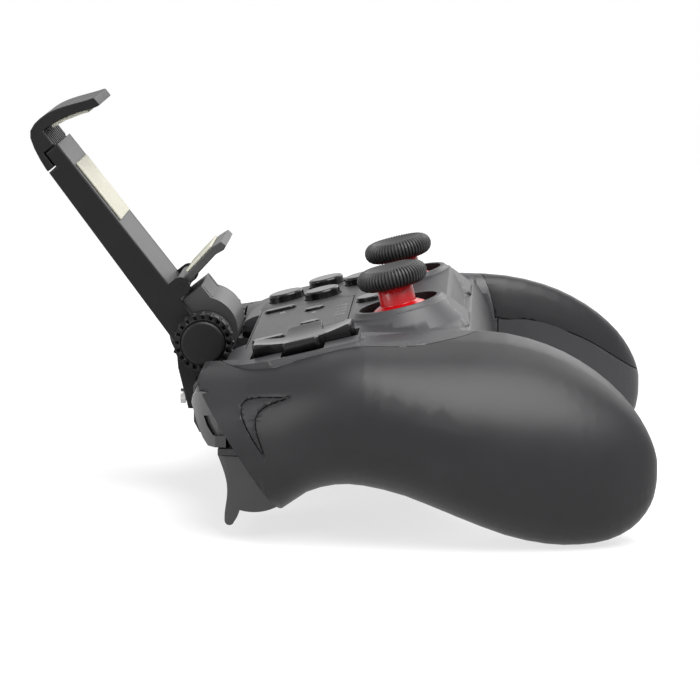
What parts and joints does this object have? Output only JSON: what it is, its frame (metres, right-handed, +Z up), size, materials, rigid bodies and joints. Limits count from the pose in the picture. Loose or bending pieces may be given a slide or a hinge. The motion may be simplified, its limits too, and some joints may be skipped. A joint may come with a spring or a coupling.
{
  "type": "gamepad with phone clamp",
  "caption": "Wireless game controller with two grips, two thumbsticks, a D-pad, face and shoulder buttons, triggers, and a folding sprung clamp that holds a phone above it.",
  "frame": {"origin": "on the ground under the middle of the bounding box; the grips stand on it and the trigger tips are 3 mm above it", "axes": "+X to the player's right, +Y away from the player towards the shoulder buttons, +Z up"},
  "size_m": [0.156, 0.157, 0.103],
  "materials": {
    "soft_grip": "soft-touch coating, matte",
    "shell": "fine moulded texture",
    "panel": "fine texture",
    "button": "glossy",
    "trigger": "semi-gloss",
    "stick_rubber": "ribbed, matte",
    "stick_red": "glossy",
    "clamp_black": "matte",
    "clamp_grey": "satin",
    "pad": "soft, matte",
    "steel": "plain",
    "inner_rubber": "silicone",
    "board": "solder mask",
    "wrap": "film",
    "window": "frosted"
  },
  "bodies": {
    "housing": {"left_grip": "soft_grip", "right_grip": "soft_grip", "top_shell": "shell", "bottom_shell": "shell", "front_bridge": "shell", "center_panel": "panel", "clamp_base": "clamp_black", "hinge_rings": "clamp_black", "hinge_caps": "clamp_black", "stick_modules": "clamp_black", "motors": "steel", "housing_screws": "steel", "clamp_screws": "steel", "trigger_pins": "steel", "trigger_springs": "steel", "hinge_bolt": "steel", "hinge_nut": "steel", "usb_socket": "steel", "dpad_membrane": "inner_rubber", "button_membrane": "inner_rubber", "center_membrane": "inner_rubber", "main_pcb": "board", "battery": "wrap", "led_guide": "window"},
    "dpad_rocker": {"dpad_pivot": "clamp_black"},
    "dpad_cross": {"dpad": "button"},
    "upper_jaw_slide": {"upper_jaw": "clamp_black", "jaw_slider": "clamp_black", "upper_jaw_pad": "pad"},
    "lower_jaw_flap": {"lower_jaw": "clamp_grey", "lower_jaw_pad": "pad"},
    "arm": {"clamp_arm": "clamp_black", "hinge_barrel": "clamp_grey", "arm_cover": "clamp_grey", "arm_pad": "pad", "lower_jaw_pin": "clamp_black", "clamp_spring": "steel"},
    "left_gimbal": {"left_stick_gimbal": "clamp_black"},
    "left_pivot": {"left_stick_pivot": "clamp_black"},
    "left_stick": {"left_stick_stem": "stick_red", "left_stick_cap": "stick_rubber"},
    "left_bumper_body": {"left_bumper": "trigger"},
    "left_trigger_body": {"left_trigger": "trigger"},
    "left_motor_weight_body": {"left_motor_weight": "steel"},
    "right_gimbal": {"right_stick_gimbal": "clamp_black"},
    "right_pivot": {"right_stick_pivot": "clamp_black"},
    "right_stick": {"right_stick_stem": "stick_red", "right_stick_cap": "stick_rubber"},
    "right_bumper_body": {"right_bumper": "trigger"},
    "right_trigger_body": {"right_trigger": "trigger"},
    "right_motor_weight_body": {"right_motor_weight": "steel"},
    "south_button_body": {"south_button": "button"},
    "north_button_body": {"north_button": "button"},
    "west_button_body": {"west_button": "button"},
    "east_button_body": {"east_button": "button"},
    "turbo_button_body": {"turbo_button": "button"},
    "clear_button_body": {"clear_button": "button"},
    "select_button_body": {"select_button": "button"},
    "start_button_body": {"start_button": "button"},
    "home_button_body": {"home_button": "button"}
  },
  "joints": [
    {"name": "left_stick_tilt_forward", "type": "hinge", "parent": "housing", "child": "left_gimbal", "pos_m": [-0.025, -0.01763, 0.0425], "axis": [-1, 0, 0], "range_deg": [-16, 16], "stiffness_Nm_per_rad": 0.05},
    {"name": "left_stick_tilt_sideways", "type": "hinge", "parent": "left_gimbal", "child": "left_pivot", "pos_m": [-0.025, -0.01763, 0.0425], "axis": [0, 0.9724, -0.2334], "range_deg": [-16, 16], "stiffness_Nm_per_rad": 0.05},
    {"name": "left_stick_click", "type": "slide", "parent": "left_pivot", "child": "left_stick", "axis": [0, -0.2334, -0.9724], "range_m": [0, 0.0006], "stiffness_N_per_m": 2000},
    {"name": "left_bumper_press", "type": "slide", "parent": "housing", "child": "left_bumper_body", "axis": [0, -1, 0], "range_m": [0, 0.0012], "stiffness_N_per_m": 800},
    {"name": "left_trigger_pull", "type": "hinge", "parent": "housing", "child": "left_trigger_body", "pos_m": [-0.0465, 0.018, 0.0172], "axis": [-1, 0, 0], "range_deg": [0, 15], "stiffness_Nm_per_rad": 0.08},
    {"name": "left_motor_spin", "type": "hinge", "parent": "housing", "child": "left_motor_weight_body", "pos_m": [-0.06, -0.056, 0.0245], "axis": [0, 1, 0], "continuous": true},
    {"name": "right_stick_tilt_forward", "type": "hinge", "parent": "housing", "child": "right_gimbal", "pos_m": [0.025, -0.01763, 0.0425], "axis": [-1, 0, 0], "range_deg": [-16, 16], "stiffness_Nm_per_rad": 0.05},
    {"name": "right_stick_tilt_sideways", "type": "hinge", "parent": "right_gimbal", "child": "right_pivot", "pos_m": [0.025, -0.01763, 0.0425], "axis": [0, 0.9724, -0.2334], "range_deg": [-16, 16], "stiffness_Nm_per_rad": 0.05},
    {"name": "right_stick_click", "type": "slide", "parent": "right_pivot", "child": "right_stick", "axis": [0, -0.2334, -0.9724], "range_m": [0, 0.0006], "stiffness_N_per_m": 2000},
    {"name": "right_bumper_press", "type": "slide", "parent": "housing", "child": "right_bumper_body", "axis": [0, -1, 0], "range_m": [0, 0.0012], "stiffness_N_per_m": 800},
    {"name": "right_trigger_pull", "type": "hinge", "parent": "housing", "child": "right_trigger_body", "pos_m": [0.0465, 0.018, 0.0172], "axis": [-1, 0, 0], "range_deg": [0, 15], "stiffness_Nm_per_rad": 0.08},
    {"name": "right_motor_spin", "type": "hinge", "parent": "housing", "child": "right_motor_weight_body", "pos_m": [0.06, -0.056, 0.0245], "axis": [0, 1, 0], "continuous": true},
    {"name": "dpad_rock_forward", "type": "hinge", "parent": "housing", "child": "dpad_rocker", "pos_m": [-0.0441, 0.00536, 0.03801], "axis": [-1, 0, 0], "range_deg": [-4, 4], "stiffness_Nm_per_rad": 0.1},
    {"name": "dpad_rock_sideways", "type": "hinge", "parent": "dpad_rocker", "child": "dpad_cross", "pos_m": [-0.0441, 0.00536, 0.03801], "axis": [0, 0.9724, -0.2334], "range_deg": [-4, 4], "stiffness_Nm_per_rad": 0.1},
    {"name": "south_press", "type": "slide", "parent": "housing", "child": "south_button_body", "axis": [0, -0.2334, -0.9724], "range_m": [0, 0.001], "stiffness_N_per_m": 600},
    {"name": "north_press", "type": "slide", "parent": "housing", "child": "north_button_body", "axis": [0, -0.2334, -0.9724], "range_m": [0, 0.001], "stiffness_N_per_m": 600},
    {"name": "west_press", "type": "slide", "parent": "housing", "child": "west_button_body", "axis": [0, -0.2334, -0.9724], "range_m": [0, 0.001], "stiffness_N_per_m": 600},
    {"name": "east_press", "type": "slide", "parent": "housing", "child": "east_button_body", "axis": [0, -0.2334, -0.9724], "range_m": [0, 0.001], "stiffness_N_per_m": 600},
    {"name": "turbo_press", "type": "slide", "parent": "housing", "child": "turbo_button_body", "axis": [0, -0.2334, -0.9724], "range_m": [0, 0.0007], "stiffness_N_per_m": 800},
    {"name": "clear_press", "type": "slide", "parent": "housing", "child": "clear_button_body", "axis": [0, -0.2334, -0.9724], "range_m": [0, 0.0007], "stiffness_N_per_m": 800},
    {"name": "select_press", "type": "slide", "parent": "housing", "child": "select_button_body", "axis": [0, -0.2334, -0.9724], "range_m": [0, 0.0007], "stiffness_N_per_m": 800},
    {"name": "start_press", "type": "slide", "parent": "housing", "child": "start_button_body", "axis": [0, -0.2334, -0.9724], "range_m": [0, 0.0007], "stiffness_N_per_m": 800},
    {"name": "home_press", "type": "slide", "parent": "housing", "child": "home_button_body", "axis": [0, -0.2334, -0.9724], "range_m": [0, 0.0007], "stiffness_N_per_m": 800},
    {"name": "clamp_tilt", "type": "hinge", "parent": "housing", "child": "arm", "pos_m": [0, 0.0343, 0.0419], "axis": [1, 0, 0], "range_deg": [-50, 60]},
    {"name": "clamp_open", "type": "slide", "parent": "arm", "child": "upper_jaw_slide", "axis": [0, 0.6157, 0.788], "range_m": [0, 0.03], "stiffness_N_per_m": 60, "springref_m": -0.02},
    {"name": "lower_jaw_fold", "type": "hinge", "parent": "arm", "child": "lower_jaw_flap", "pos_m": [0, 0.0406, 0.055], "axis": [1, 0, 0], "range_deg": [-79, 0]}
  ]
}
